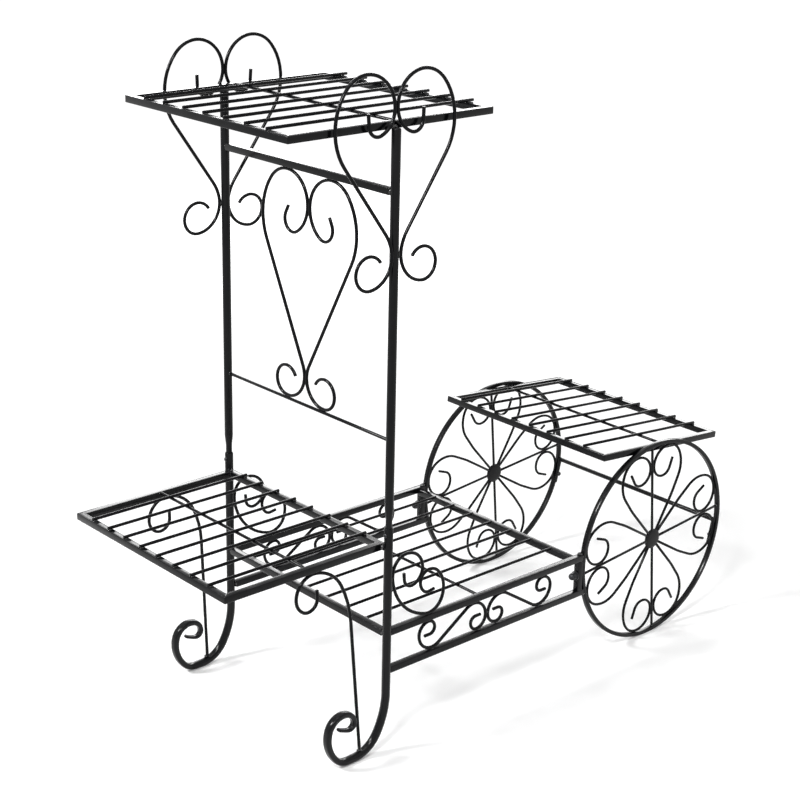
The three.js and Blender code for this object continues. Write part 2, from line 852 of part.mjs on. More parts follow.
// What stands twice, once on the near side and once on the far side.
function addSide(side, label) {
  const legGeometry = bentLeg(legStraight);
  add(`upper_post_${label}`, upperPost()).position.y = side * postY;
  add(`leg_${label}`, legGeometry).position.y = side * postY;

  const upperLength = rimStation - railStart;
  const upperMiddle = railStart + upperLength / 2;
  const railY = side * wheelY;
  const upperZ = middleTrayTop - railSize / 2;
  addBox(`middle_side_rail_${label}`, [upperLength, railSize, railSize], [upperMiddle, railY, upperZ]);

  const lowerEnd = rimFront(lowerRailTop) - seatGap;
  const lowerMiddle = (railStart + lowerEnd) / 2;
  const lowerZ = lowerRailTop - railSize / 2;
  addBox(`lower_side_rail_${label}`, [lowerEnd - railStart, railSize, railSize], [lowerMiddle, railY, lowerZ]);
  addEndPost(side, label);

  for (const half of [-1, 1]) {
    const hand = half < 0 ? "left" : "right";
    const heartWire = wire(heartStations(sideHalf), besideHeart(side, half), wireRadius, wireSides);
    const heart = add(`side_heart_${label}_${hand}`, heartWire);
    heart.position.y = side * postY;

    const mirrored = (u, v) => new THREE.Vector3(-half * u, 0, v);
    const scroll = add(`s_scroll_${label}_${hand}`, wire(sScrollStations(), mirrored, wireRadius, wireSides));
    scroll.position.set(bayMiddle, railY, 0);
  }

  const corner = add(`corner_scroll_${label}`, wire(cornerStations(), upright, wireRadius, wireSides));
  corner.position.y = side * postY;
  add(`leg_brace_${label}`, wire(braceStations(), leaning(side), wireRadius, wireSides));
}

function addEndPost(side, label) {
  const foot = lowerRailTop + seatGap;
  const head = upperRailUnderside - seatGap;
  const post = new THREE.BoxGeometry(railSize, railSize, head - foot);
  post.translate(rimStation - railSize / 2, 0, (head + foot) / 2);
  const hole = bar(boltDiameter / 2 + seatGap, 2 * railSize, fastenerFacets, "x");
  hole.translate(rimStation - railSize / 2, 0, boltHeight);
  add(`end_post_${label}`, cut(post, hole)).position.y = side * wheelY;
  const bolt = add(`wheel_bolt_${label}`, wheelBolt(), stand, zincSteel());
  bolt.position.set(rimStation, side * wheelY, boltHeight);
}

function addCentre() {
  addBox("top_crossbar", [railSize, betweenPosts, railSize], [0, 0, crossbarHeight]);
  const rod = add("heart_cross_rod", bar(wireRadius, betweenPosts, postSides, "y"));
  rod.position.z = heartRodHeight;
  for (const [side, label] of [[-1, "near"], [1, "far"]]) {
    const slope = centreHeartLean / (centreHeartTop - centreHeartBottom);
    const place = (u, v) => across(side * u - slope * (v - centreHeartBottom), v);
    add(`centre_heart_${label}`, wire(heartStations(centreHalf()), place, wireRadius, wireSides));
  }
}

function addWheel(side, label) {
  const wheel = new THREE.Group();
  wheel.position.set(wheelX, side * wheelY, wheelRadius);
  stand.add(wheel);
  add(`wheel_rim_${label}`, wheelRim(), wheel);

  const inside = new THREE.Group();
  inside.rotation.y = -wheelTurn * DEGREE;
  wheel.add(inside);
  add(`wheel_hub_${label}`, hubWithSpokes(), inside);
  const stations = wheelScrollStations();
  for (let quarter = 0; quarter < 4; quarter++) {
    for (const half of [-1, 1]) {
      const place = (u, v) => new THREE.Vector3(half * u, 0, v);
      const number = 2 * quarter + (half < 0 ? 1 : 2);
      const scroll = add(`wheel_scroll_${label}_${number}`, wire(stations, place, spokeRadius, spokeSides), inside);
      scroll.rotation.y = (quarter * Math.PI) / 2;
    }
  }
}

function addCrossTube() {
  const { x, z } = crossTubePlace;
  add("wheel_cross_tube", crossTube()).position.set(x, 0, z);
  const place = screwPlace();
  for (const [side, label] of [[-1, "near"], [1, "far"]]) {
    const screw = add(`cross_tube_screw_${label}`, crossTubeScrew(), stand, zincSteel());
    screw.position.set(place.x, side * (trayHalf + seatGap), place.z);
    if (side < 0) screw.rotation.z = Math.PI;
  }
}

addTrays();
addMiddleTray();
addSide(-1, "near");
addSide(1, "far");
addCentre();
addWheel(-1, "near");
addWheel(1, "far");
addCrossTube();

// The origin lies half way between the end of the left tray and the back of the wheels.
stand.position.x = (leftTrayLength - wheelX - wheelRadius) / 2;

const part = new THREE.Group();
part.add(stand);

export default part;
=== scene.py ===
"""Looks of the flower cart stand: bent wire, bevelled tube, weld beads and gloss black powder coat."""

import math

import bmesh
import bpy
from mathutils import Matrix, Vector


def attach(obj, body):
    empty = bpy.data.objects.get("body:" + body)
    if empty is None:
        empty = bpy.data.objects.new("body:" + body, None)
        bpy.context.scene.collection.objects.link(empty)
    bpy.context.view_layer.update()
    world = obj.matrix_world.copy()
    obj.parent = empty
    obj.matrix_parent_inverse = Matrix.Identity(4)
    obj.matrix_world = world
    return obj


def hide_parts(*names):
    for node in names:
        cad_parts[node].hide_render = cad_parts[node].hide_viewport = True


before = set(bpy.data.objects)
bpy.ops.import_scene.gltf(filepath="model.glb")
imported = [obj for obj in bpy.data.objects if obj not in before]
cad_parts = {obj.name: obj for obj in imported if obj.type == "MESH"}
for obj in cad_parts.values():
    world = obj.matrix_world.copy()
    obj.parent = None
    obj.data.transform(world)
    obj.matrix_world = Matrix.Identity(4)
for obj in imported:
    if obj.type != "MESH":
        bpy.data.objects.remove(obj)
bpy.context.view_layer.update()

# ---------------------------------------------------------------- sizes, in millimetres, as in the CAD
RAIL = 8  # square tube of the frames and rails
POST_RADIUS = 5
POST_WALL = 1
WIRE = 1.75  # radius of the wire of hearts, braces and side scrolls
SLAT = 1.6  # radius of the slats and of the rods under them
SPOKE = 1.5  # radius of the wheels' wire
GAP = 0.3
COAT = 0.22  # the coat of paint, which lies thick on the wires
WELD_SINK = 0.5  # how deep a rod sits in the slats it is welded to
TUBE_EDGE = 0.9  # rounding of a square tube's edges
WIRE_EDGE = 0.5  # rounding of a bent wire's cut ends
TRAY_WIDTH = 280
SLAT_INSET = 1.4

LEFT_LENGTH = 216.5
LEFT_TOP = 253
LEFT_SLATS = 8

TOP_LENGTH = 276.5
TOP_OFFSET = 3.5
TOP_TOP = 715.4
TOP_SLATS = 7
TOP_OVERHANG = 3

MIDDLE_LENGTH = 312.4
MIDDLE_TOP = 148.6
MIDDLE_SLATS = 7
MIDDLE_ROD = 147
END_RAIL_DROP = 2.3
LOWER_TOP = 101.9

WHEEL_START = 354.4
WHEEL_LENGTH = 215.5
WHEEL_TOP = 267.8
WHEEL_SLOPE = 4.94
WHEEL_SLATS = 8
WHEEL_SHIFT = 5.5

POST_TOP = 709
JOINT_HEIGHT = 272
PLUG_DEPTH = 24
PLUG_RADIUS = 3.7  # the post's foot, inside the leg
NECK = 10
SHOULDER = 13

CROSSBAR_HEIGHT = 643.5
HEART_ROD_HEIGHT = 373.2
CENTRE_LEAN = 6.5
SIDE_HEART_TOP = 767.6
LOBE_DEPTH = 50
GRIP_ANGLE = 30
BRACE_STATION = 37.5

RIM_STATION = 318.4
WHEEL_RADIUS = 132.2
RIM_DEPTH = 5
RIM_WIDTH = 6
WHEEL_TURN = 5.4
HUB_RADIUS = 13
HUB_THICKNESS = 4.4
HUB_SINK = 0.6  # how deep a scroll's end sits in the hub

CROSS_TUBE_HEIGHT = 122
CROSS_TUBE_RADIUS = 3
SCREW_DROP = 21
TAB_LENGTH = 36
TAB_WIDTH = 5
TAB_THICKNESS = 2.4

BOLT_HEIGHT = 122.5
BOLT_HEAD = 11  # how far the dome stands out of the short post
BOLT_RADIUS = 4.56
BOLT_DOME = 4.6
WASHER_RADIUS = 5.75
BOLT_SHANK = 2

TRAY_HALF = TRAY_WIDTH / 2
POST_Y = TRAY_HALF + GAP + POST_RADIUS
WHEEL_Y = TRAY_HALF + GAP + RIM_WIDTH / 2
WHEEL_X = RIM_STATION + GAP + WHEEL_RADIUS
RIM_INNER = WHEEL_RADIUS - RIM_DEPTH
STAND_X = (LEFT_LENGTH - WHEEL_X - WHEEL_RADIUS) / 2
SIDES = (("near", -1), ("far", 1))

MM = 0.001
FINE = math.radians(1)  # the step in which a wire's path is worked out
SMOOTH = math.radians(7)  # the step in which its bends are drawn
ALONG_X = Matrix.Rotation(math.pi / 2, 4, "Y")
ALONG_Y = Matrix.Rotation(math.pi / 2, 4, "X")
TO_ROW = Matrix.Translation((STAND_X * MM, 0, 0)) @ Matrix.Scale(MM, 4)

# ---------------------------------------------------------------- bent wire


def straight(length):
    return (length, 0.0)


def bend(radius, degrees):
    return (radius * abs(math.radians(degrees)), math.radians(degrees))


def scaled(moves, factor):
    return [(length * factor, turn) for length, turn in moves]


def follow(moves, heading, start=(0.0, 0.0)):
    """The stations (u, v, heading, run) of a wire in its own plane."""
    stations = [(start[0], start[1], heading, 0.0)]
    for length, turn in moves:
        u, v, direction, run = stations[-1]
        pieces = max(1, math.ceil(abs(turn) / FINE - 1e-6))
        for i in range(1, pieces + 1):
            angle = turn * i / pieces
            chord = 2 * length / turn * math.sin(angle / 2) if turn else length
            middle = direction + angle / 2
            place = (u + chord * math.cos(middle), v + chord * math.sin(middle))
            stations.append((*place, direction + angle, run + length * i / pieces))
    return stations


def extent(moves, heading):
    stations = follow(moves, heading)
    us = [s[0] for s in stations]
    vs = [s[1] for s in stations]
    return {"left": min(us), "right": max(us), "bottom": min(vs), "top": max(vs), "end": stations[-1]}


def solve(rising, low, high):
    for _ in range(50):
        middle = (low + high) / 2
        if rising(middle) < 0:
            low = middle
        else:
            high = middle
    return (low + high) / 2


def heart_half(heart, waist, top, factor):
    heading = math.radians(heart["heading"])
    lobe = scaled(heart["lobe"], factor)
    curl = scaled(heart["curl"], factor)
    lobe_box = extent(lobe, heading)
    end = lobe_box["end"]
    start = (WIRE + GAP / 2 - lobe_box["left"], top - lobe_box["top"])
    reach = start[0] + end[0] + extent(curl, end[2])["left"] - waist
    run = -reach / math.cos(end[2])
    return lobe + [straight(run)] + curl, heading, start


SIDE_HEART = {
    "heading": -93,
    "lobe": [straight(13), bend(12, -107), bend(28, -70), bend(36, -139.9), bend(62.3, -75.9)],
    "curl": [bend(46.9, 22.6), bend(31.8, 13.2), bend(31.8, 84.9), bend(18, 242.5)],
}
CENTRE_HEART = {
    "heading": -62,
    "lobe": [straight(9), bend(14.1, -147.6), bend(36.2, -60.4), bend(36.2, -140.7), bend(66.4, -66.5)],
    "curl": [bend(45.5, 3.6), bend(29.3, 23.6), bend(29.3, 101.7), bend(17.6, 231.5)],
}
BESIDE_POST = POST_RADIUS + GAP + WIRE


def side_heart():
    waist = BESIDE_POST * math.cos(math.radians(GRIP_ANGLE))
    return heart_half(SIDE_HEART, waist, SIDE_HEART_TOP - WIRE, 1)


def side_waist_height():
    moves, heading, start = side_heart()
    below = [s for s in follow(moves, heading, start) if s[1] < start[1] - LOBE_DEPTH]
    return min(below, key=lambda s: s[0])[1]


CENTRE_TOP = CROSSBAR_HEIGHT - RAIL / 2 - GAP - WIRE
CENTRE_BOTTOM = HEART_ROD_HEIGHT + 2 * WIRE + GAP


def centre_heart():
    def spare(factor):
        moves, heading, start = heart_half(CENTRE_HEART, WIRE + GAP / 2, CENTRE_TOP, factor)
        return CENTRE_BOTTOM - (start[1] + extent(moves, heading)["bottom"])

    return heart_half(CENTRE_HEART, WIRE + GAP / 2, CENTRE_TOP, solve(spare, 0.3, 3))


def corner_scroll():
    moves = [
        straight(8.5),
        bend(11, 100),
        bend(18, 80),
        bend(24, 90),
        bend(20, 75),
        bend(38, 20),
        bend(66, 67),
        bend(21.5, 83),
        bend(33, 65),
        bend(18, 50),
        bend(13, 90),
        bend(16, 45),
        bend(10, 50),
        straight(7.5),
    ]
    heading = math.radians(-85)
    box = extent(moves, heading)
    return moves, heading, (BESIDE_POST - box["left"], MIDDLE_TOP + GAP + WIRE - box["bottom"])


def s_scroll():
    half = [straight(8), bend(7.5, 90), bend(9.5, 90), bend(14.3, 90), bend(20, 123), straight(25.9)]
    moves = half + [(length, -turn) for length, turn in reversed(half)]
    box = extent(moves, 0)
    height = MIDDLE_TOP - RAIL - LOWER_TOP - 2 * GAP - 2 * WIRE
    factor = height / (box["top"] - box["bottom"])
    start = (-box["right"] * factor - WIRE - GAP / 2, LOWER_TOP + GAP + WIRE - box["bottom"] * factor)
    return scaled(moves, factor), 0.0, start


def wheel_scroll():
    """A scroll that leaves the hub, rounds the rim and curls back against its spoke."""
    run = 58.4
    moves = [
        straight(run),
        bend(60, 5.3),
        straight(20),
        bend(35.8, 57),
        bend(25.3, 100),
        bend(21.3, 46),
        bend(16.5, 110),
        bend(12.7, 53),
        straight(12.7),
    ]
    first = math.radians(54)
    reach = max(math.hypot(s[0], s[1]) for s in follow(moves, first))
    factor = (RIM_INNER - GAP - SPOKE) / reach
    sized = scaled(moves, factor)

    def beside_spoke(heading):
        outer = [s[0] for s in follow(sized, heading) if s[1] > RIM_INNER / 2]
        return 2 * SPOKE + GAP - min(outer)

    heading = solve(beside_spoke, first - math.pi / 6, first + math.pi / 6)
    seat = HUB_RADIUS - HUB_SINK
    sized[0] = straight(run * factor - seat)
    return sized, heading, (seat * math.cos(heading), seat * math.sin(heading))


# ---------------------------------------------------------------- the leg's path
FOOT = [
    bend(95, -31),
    bend(38, -59),
    straight(10),
    bend(22, -45),
    bend(44, -35),
    bend(36, -25),
    bend(20, -100),
    bend(15, -60),
    bend(7, -105),
    bend(28, -12),
    straight(8),
]


def station_at(stations, run):
    for a, b in zip(stations, stations[1:]):
        if b[3] >= run - 1e-9:
            share = (run - a[3]) / (b[3] - a[3])
            return [a[i] + (b[i] - a[i]) * share for i in range(3)]
    return stations[-1][:3]


def smoothstep(x, low, high):
    t = min(1, max(0, (x - low) / (high - low)))
    return t * t * (3 - 2 * t)


def mix(a, b, share):
    return a + (b - a) * share


def foot_section(share):
    """How flat and how narrow the leg is at a share of the way along its foot."""
    press = smoothstep(share, 0.3, 0.5)
    draw = smoothstep(share, 0.75, 1)
    return mix(mix(1, 0.75, press), 0.4, draw), mix(1, 0.7, draw), press


# ---------------------------------------------------------------- shader maths


class Value:
    """A socket that takes part in Python arithmetic."""

    def __init__(self, paint, socket):
        self.paint = paint
        self.socket = socket

    def _math(self, operation, *values, **settings):
        sockets = {i: v for i, v in enumerate(values)}
        return self.paint.node("ShaderNodeMath", sockets, operation=operation, **settings)

    def __add__(self, other):
        return self._math("ADD", self, other)

    __radd__ = __add__

    def __mul__(self, other):
        return self._math("MULTIPLY", self, other)

    def clamped(self):
        return self._math("ADD", self, 0.0, use_clamp=True)

    def between(self, low, high):
        """0 below low, 1 above high, and smooth between them."""
        sockets = {"Value": self, "From Min": low, "From Max": high}
        return self.paint.node("ShaderNodeMapRange", sockets, "Result", interpolation_type="SMOOTHSTEP")


class Paint:
    """A material, or the world, that is built node by node."""

    def __init__(self, name="", tree=None):
        if not tree:
            self.material = bpy.data.materials.new(name)
            self.material.use_nodes = True
            tree = self.material.node_tree
        self.tree = tree
        self.tree.nodes.clear()

    def node(self, kind, sockets=None, output=0, **settings):
        made = self.tree.nodes.new(kind)
        for key, value in settings.items():
            setattr(made, key, value)
        for key, value in (sockets or {}).items():
            if isinstance(value, Value):
                self.tree.links.new(value.socket, made.inputs[key])
            else:
                made.inputs[key].default_value = value
        return Value(self, made.outputs[output])

    def noise(self, place, scale, detail=2.0, roughness=0.5):
        sockets = {"Vector": place, "Scale": scale, "Detail": detail, "Roughness": roughness}
        return self.node("ShaderNodeTexNoise", sockets, "Fac")

    def bump(self, strength, distance, height):
        sockets = {"Strength": strength, "Distance": distance, "Height": height}
        return self.node("ShaderNodeBump", sockets, "Normal")

    def blend(self, factor, a, b):
        sockets = {"Factor": factor, 6: a, 7: b}
        return self.node("ShaderNodeMix", sockets, 2, data_type="RGBA")

    def finish(self, surface, kind="ShaderNodeOutputMaterial"):
        output = self.tree.nodes.new(kind)
        self.tree.links.new(surface.socket, output.inputs["Surface"])


def grey(level):
    return (level, level, level, 1)


def powder_coat(name, grain=1.0, gloss=0.16, level=0.16):
    """Gloss black powder coat: orange peel, a faint mottle in the gloss and dust on what faces up."""
    paint = Paint(name)
    place = paint.node("ShaderNodeTexCoord", output="Object")
    peel = paint.noise(place, 900 * grain, 2.0, 0.55)
    waves = paint.noise(place, 210 * grain, 1.0)
    mottle = paint.noise(place, 46, 4.0, 0.6)
    specks = paint.noise(place, 1500, 1.0).between(0.68, 0.76)
    normal = paint.node("ShaderNodeNewGeometry", output="Normal")
    up = paint.node("ShaderNodeSeparateXYZ", {0: normal}, "Z")
    dust = up.between(0.75, 1.0) * mottle.between(0.4, 0.75)
    deep = (0.0014, 0.0016, 0.002, 1)
    faded = (0.0028, 0.003, 0.0036, 1)
    colour = paint.blend(mottle.between(0.3, 0.7), deep, faded)
    colour = paint.blend(dust * 0.12 + specks * 0.05, colour, (0.16, 0.16, 0.165, 1))
    bump = paint.bump(0.06, 0.00016, peel * 0.55 + waves * 1.2)
    surface = paint.node(
        "ShaderNodeBsdfPrincipled",
        {
            "Base Color": colour,
            "Roughness": gloss + mottle * 0.04 + dust * 0.03,
            "Specular IOR Level": level,
            "Coat Weight": 0.05,
            "Coat Roughness": 0.05,
            "Normal": bump,
        },
    )
    paint.finish(surface)
    return paint.material


def weld_coat(name):
    """The same coat over a weld bead: lumpier, with fine spatter."""
    paint = Paint(name)
    place = paint.node("ShaderNodeTexCoord", output="Object")
    lumps = paint.noise(place, 700, 3.0, 0.6)
    spatter = paint.noise(place, 1900, 1.0)
    colour = paint.blend(lumps, (0.004, 0.0042, 0.0046, 1), (0.0085, 0.0088, 0.0094, 1))
    surface = paint.node(
        "ShaderNodeBsdfPrincipled",
        {
            "Base Color": colour,
            "Roughness": 0.16 + lumps * 0.12,
            "Specular IOR Level": 0.5,
            "Coat Weight": 0.7,
            "Coat Roughness": 0.06,
            "Normal": paint.bump(0.45, 0.0003, lumps + spatter * 0.4),
        },
    )
    paint.finish(surface)
    return paint.material


def dark_zinc(name):
    """Blackened zinc on the bolts and screws."""
    paint = Paint(name)
    place = paint.node("ShaderNodeTexCoord", output="Object")
    bloom = paint.noise(place, 420, 4.0, 0.65)
    lines = paint.noise(place, 2600, 2.0)
    colour = paint.blend(bloom.between(0.35, 0.7), (0.012, 0.0125, 0.0135, 1), (0.05, 0.051, 0.055, 1))
    surface = paint.node(
        "ShaderNodeBsdfPrincipled",
        {
            "Base Color": colour,
            "Roughness": 0.24 + bloom * 0.18,
            "Metallic": 0.75,
            "Normal": paint.bump(0.2, 0.0001, lines),
        },
    )
    paint.finish(surface)
    return paint.material


TUBE_COAT = powder_coat("tube_coat")
WIRE_COAT = powder_coat("wire_coat", 1.3, 0.16, 0.09)
WELD_COAT = weld_coat("weld_coat")
ZINC = dark_zinc("dark_zinc")

# ---------------------------------------------------------------- mesh helpers


def move(bm, matrix, verts=None):
    bmesh.ops.transform(bm, matrix=matrix, verts=verts or bm.verts)


def flat(bm, angle=32):
    """Marks the edges that stay crisp; everything else is smooth."""
    bm.normal_update()
    for face in bm.faces:
        face.smooth = True
    for edge in bm.edges:
        edge.smooth = len(edge.link_faces) == 2 and edge.calc_face_angle(0) < math.radians(angle)


def piece(name, bm, nodes=(), coat=TUBE_COAT, crisp=32):
    """Makes the piece from millimetres measured at the post axis, and puts it on the stand."""
    bmesh.ops.remove_doubles(bm, verts=bm.verts, dist=1e-3)
    bmesh.ops.recalc_face_normals(bm, faces=bm.faces)
    move(bm, TO_ROW)
    flat(bm, crisp)
    mesh = bpy.data.meshes.new(name)
    bm.to_mesh(mesh)
    bm.free()
    mesh.materials.append(coat)
    made = bpy.data.objects.new(name, mesh)
    bpy.context.collection.objects.link(made)
    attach(made, "root")
    if nodes:
        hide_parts(*nodes)


def add(bm, other):
    """Joins a second bmesh into the first."""
    mesh = bpy.data.meshes.new("joining")
    other.to_mesh(mesh)
    other.free()
    bm.from_mesh(mesh)
    bpy.data.meshes.remove(mesh)


def spin_round(bm, outline, steps):
    """Turns an outline once about Z and closes the seam."""
    bmesh.ops.spin(
        bm, geom=outline, cent=(0, 0, 0), axis=(0, 0, 1), angle=2 * math.pi, steps=steps, use_merge=True
    )
    bmesh.ops.remove_doubles(bm, verts=bm.verts, dist=1e-3)
    bmesh.ops.recalc_face_normals(bm, faces=bm.faces)


def turned(profile, steps):
    """A body turned about Z from (radius, height) pairs."""
    bm = bmesh.new()
    verts = [bm.verts.new((radius, 0, height)) for radius, height in profile]
    edges = [bm.edges.new(pair) for pair in zip(verts, verts[1:])]
    spin_round(bm, verts + edges, steps)
    return bm


def sharp_edges(bm):
    """The edges at which two faces meet at more than a radian."""
    return [e for e in bm.edges if e.calc_face_angle(0) > 1]


def rounded(bm, edges, offset, segments=3, **settings):
    bmesh.ops.bevel(
        bm, geom=edges, offset=offset, segments=segments, profile=0.5, affect="EDGES", material=-1, **settings
    )


def square_bar(size, centre, edge=TUBE_EDGE):
    """A length of square tube with its long edges rounded; size is (x, y, z)."""
    bm = bmesh.new()
    bmesh.ops.create_cube(bm, size=1)
    move(bm, Matrix.Translation(centre) @ Matrix.Diagonal((*size, 1)))
    rounded(bm, bm.edges[:], edge, clamp_overlap=True)
    return bm


def round_bar(radius, length, centre, axis, sides=20, tip=0.35):
    """A length of round wire or tube with its cut ends broken."""
    bm = bmesh.new()
    bmesh.ops.create_cone(
        bm, cap_ends=True, segments=sides, radius1=radius, radius2=radius, depth=length
    )
    ends = [e for e in bm.edges if abs(e.verts[0].co.z - e.verts[1].co.z) < 1e-4]
    rounded(bm, ends, tip, 2)
    turns = {"x": ALONG_X, "y": ALONG_Y, "z": Matrix()}
    move(bm, Matrix.Translation(centre) @ turns[axis])
    return bm


def only(made, kind):
    return [part for part in made if isinstance(part, kind)]


def bent_wire(moves, heading, start, radius, sides=14):
    """A round wire bent in the plane of X and Y: extruded along its straights and spun round its bends."""
    bm = bmesh.new()
    bmesh.ops.create_circle(bm, cap_ends=False, segments=sides, radius=radius + COAT)
    place = Matrix.Translation((start[0], start[1], 0)) @ Matrix.Rotation(heading, 4, "Z")
    move(bm, place @ Matrix.Rotation(math.pi / 2, 4, "Y"))
    ring = bm.edges[:]
    u, v, direction = start[0], start[1], heading
    for length, turn in moves:
        if turn:
            reach = length / abs(turn)
            aside = math.copysign(reach, turn)
            cent = Vector((u - math.sin(direction) * aside, v + math.cos(direction) * aside, 0))
            steps = max(1, math.ceil(abs(turn) / SMOOTH))
            verts = list({vert for edge in ring for vert in edge.verts})
            spun = bmesh.ops.spin(
                bm, geom=verts + ring, cent=cent, axis=(0, 0, 1), angle=turn, steps=steps, use_duplicate=False
            )
            made = spun["geom_last"]
        else:
            made = bmesh.ops.extrude_edge_only(bm, edges=ring)["geom"]
            ahead = Vector((math.cos(direction), math.sin(direction), 0)) * length
            bmesh.ops.translate(bm, vec=ahead, verts=only(made, bmesh.types.BMVert))
        ring = [edge for edge in only(made, bmesh.types.BMEdge) if all(vert in made for vert in edge.verts)]
        if not turn:
            ring = [e for e in ring if len(e.link_faces) == 1]
        chord = 2 * length / turn * math.sin(turn / 2) if turn else length
        u += chord * math.cos(direction + turn / 2)
        v += chord * math.sin(direction + turn / 2)
        direction += turn
    open_edges = [e for e in bm.edges if len(e.link_faces) == 1]
    bmesh.ops.holes_fill(bm, edges=open_edges, sides=0)
    ends = [e for e in bm.edges if any(len(f.verts) > 4 for f in e.link_faces)]
    rounded(bm, ends, WIRE_EDGE, 2)
    bmesh.ops.recalc_face_normals(bm, faces=bm.faces)
    return bm


def plane(u_axis, v_axis, w_axis, origin):
    """The matrix that lays a wire's own plane (u, v) in space."""
    columns = (*zip(u_axis, v_axis, w_axis, origin),)
    return Matrix((*[list(row) for row in columns], [0, 0, 0, 1]))


def alongside(y, half=1):
    """An upright plane along the cart; half mirrors it."""
    return plane((half, 0, 0), (0, 0, 1), (0, 1, 0), (0, y, 0))


# ---------------------------------------------------------------- weld beads
BEADS = {}


def bead(group, place, size, along=(1, 0, 0), seed=0):
    """A small lump of weld: size is (length, width, height) in millimetres."""
    bm = BEADS.setdefault(group, bmesh.new())
    made = bmesh.ops.create_icosphere(bm, subdivisions=2, radius=0.5)["verts"]
    axis = Vector(along).normalized()
    turn = axis.to_track_quat("X", "Z").to_matrix().to_4x4()
    for vert in made:
        long_ripple = 0.1 * math.sin(vert.co.x * 17 + seed * 2.1)
        short_ripple = 0.07 * math.sin(vert.co.y * 23 + vert.co.z * 19 + seed)
        vert.co *= 1 + long_ripple + short_ripple
    move(bm, Matrix.Translation(place) @ turn @ Matrix.Diagonal((*size, 1)), made)


# ---------------------------------------------------------------- trays


def tray_frame(length):
    """The welded ring of square tube: a plate, inset to the width of the tube and drawn down."""
    bm = bmesh.new()
    bmesh.ops.create_grid(bm, x_segments=1, y_segments=1, size=0.5)
    move(bm, Matrix.Translation((length / 2, 0, 0)) @ Matrix.Diagonal((length, TRAY_WIDTH, 1, 1)))
    inner = bm.faces[:]
    bmesh.ops.inset_region(bm, faces=inner, thickness=RAIL, use_even_offset=True, use_boundary=True)
    bmesh.ops.delete(bm, geom=inner, context="FACES")
    drawn = bmesh.ops.extrude_face_region(bm, geom=bm.faces[:])["geom"]
    bmesh.ops.translate(bm, vec=(0, 0, -RAIL), verts=only(drawn, bmesh.types.BMVert))
    bmesh.ops.recalc_face_normals(bm, faces=bm.faces)
    rounded(bm, sharp_edges(bm), TUBE_EDGE)
    return bm


def slat_places(count, shift=0.0):
    """Where the slats lie across a tray."""
    pitch = TRAY_WIDTH / (count + 1)
    return [pitch * (i + 1) - TRAY_HALF + shift for i in range(count)]


def slats(count, start, end, z, rod_length, shift=0.0, rod_at=None):
    """Round slats laid along X, with one rod across under them."""
    bm = bmesh.new()
    middle = (start + end) / 2
    for y in slat_places(count, shift):
        add(bm, round_bar(SLAT + COAT, end - start, (middle, y, z), "x"))
    add(bm, round_bar(SLAT + COAT, rod_length, (rod_at or middle, 0, z - 2 * SLAT + WELD_SINK), "y"))
    return bm


def tray(name, count, length, matrix, overhang=-SLAT_INSET, shift=0.0):
    """A frame with its slats and weld beads; its own X runs along it and Z = 0 is the frame's top."""
    ring = tray_frame(length)
    move(ring, matrix)
    piece(f"{name}_tray_ring", ring, [f"{name}_tray_frame"])
    grid = slats(count, SLAT_INSET, length + overhang, GAP + SLAT, TRAY_WIDTH - 2 * RAIL, shift)
    move(grid, matrix)
    piece(f"{name}_tray_wires", grid, [f"{name}_tray_slats"], WIRE_COAT)
    for i, y in enumerate(slat_places(count, shift)):
        for j, x in enumerate((RAIL * 0.45, length - RAIL * 0.5)):
            for side in (-1, 1):
                spot = matrix @ Vector((x + 0.6 * math.sin(i * 3 + j), y + side * 1.35, 0.25))
                bead(name, spot, (5.2 + 0.8 * math.sin(i * 5 + side), 1.9, 1.7), seed=i * 4 + j)
    for side in (-1, 1):
        spot = matrix @ Vector((length / 2, side * (TRAY_HALF - RAIL + 0.2), -1.0))
        bead(name, spot, (4.6, 2.2, 2.6), seed=side)
    for x in (RAIL / 2, length - RAIL / 2):
        for side in (-1, 1):
            spot = matrix @ Vector((x, side * (TRAY_HALF - RAIL / 2), -0.28))
            bead(name, spot, (RAIL * 1.15, 1.0, 0.9), (1, side * (1 if x > RAIL else -1), 0), seed=3)


def trays():
    left = Matrix.Translation((-LEFT_LENGTH, 0, LEFT_TOP))
    tray("left", LEFT_SLATS, LEFT_LENGTH, left)
    top = Matrix.Translation((TOP_OFFSET - TOP_LENGTH / 2, 0, TOP_TOP))
    tray("top", TOP_SLATS, TOP_LENGTH, top, TOP_OVERHANG)
    slope = Matrix.Rotation(math.radians(WHEEL_SLOPE), 4, "Y")
    wheel = Matrix.Translation((WHEEL_START, 0, WHEEL_TOP)) @ slope
    tray("wheel", WHEEL_SLATS, WHEEL_LENGTH, wheel, shift=WHEEL_SHIFT)


def middle_tray():
    middle = MIDDLE_TOP - RAIL / 2
    between_posts = 2 * (POST_Y - POST_RADIUS)
    between_rails = 2 * (WHEEL_Y - RAIL / 2)
    left = square_bar((RAIL, between_posts, RAIL), (0, 0, middle))
    piece("middle_tray_front_bar", left, ["middle_end_rail_left"])
    right = square_bar((RAIL, between_rails, RAIL), (MIDDLE_LENGTH - RAIL / 2, 0, middle - END_RAIL_DROP))
    piece("middle_tray_back_bar", right, ["middle_end_rail_right"])
    end = MIDDLE_LENGTH - RAIL
    height = MIDDLE_TOP - SLAT
    grid = slats(MIDDLE_SLATS, RAIL / 2 - 0.2, end + 0.6, height, between_rails, rod_at=MIDDLE_ROD)
    piece("middle_tray_wires", grid, ["middle_tray_slats"], WIRE_COAT)
    for i, y in enumerate(slat_places(MIDDLE_SLATS)):
        bead("middle", (RAIL / 2 + 0.3, y, height), (2.6, 4.6, 4.2), seed=i)
        bead("middle", (end + 0.1, y, height - 0.6), (3.2, 4.4, 3.0), seed=i + 9)


# ---------------------------------------------------------------- posts and legs
TUBE_SIDES = 32


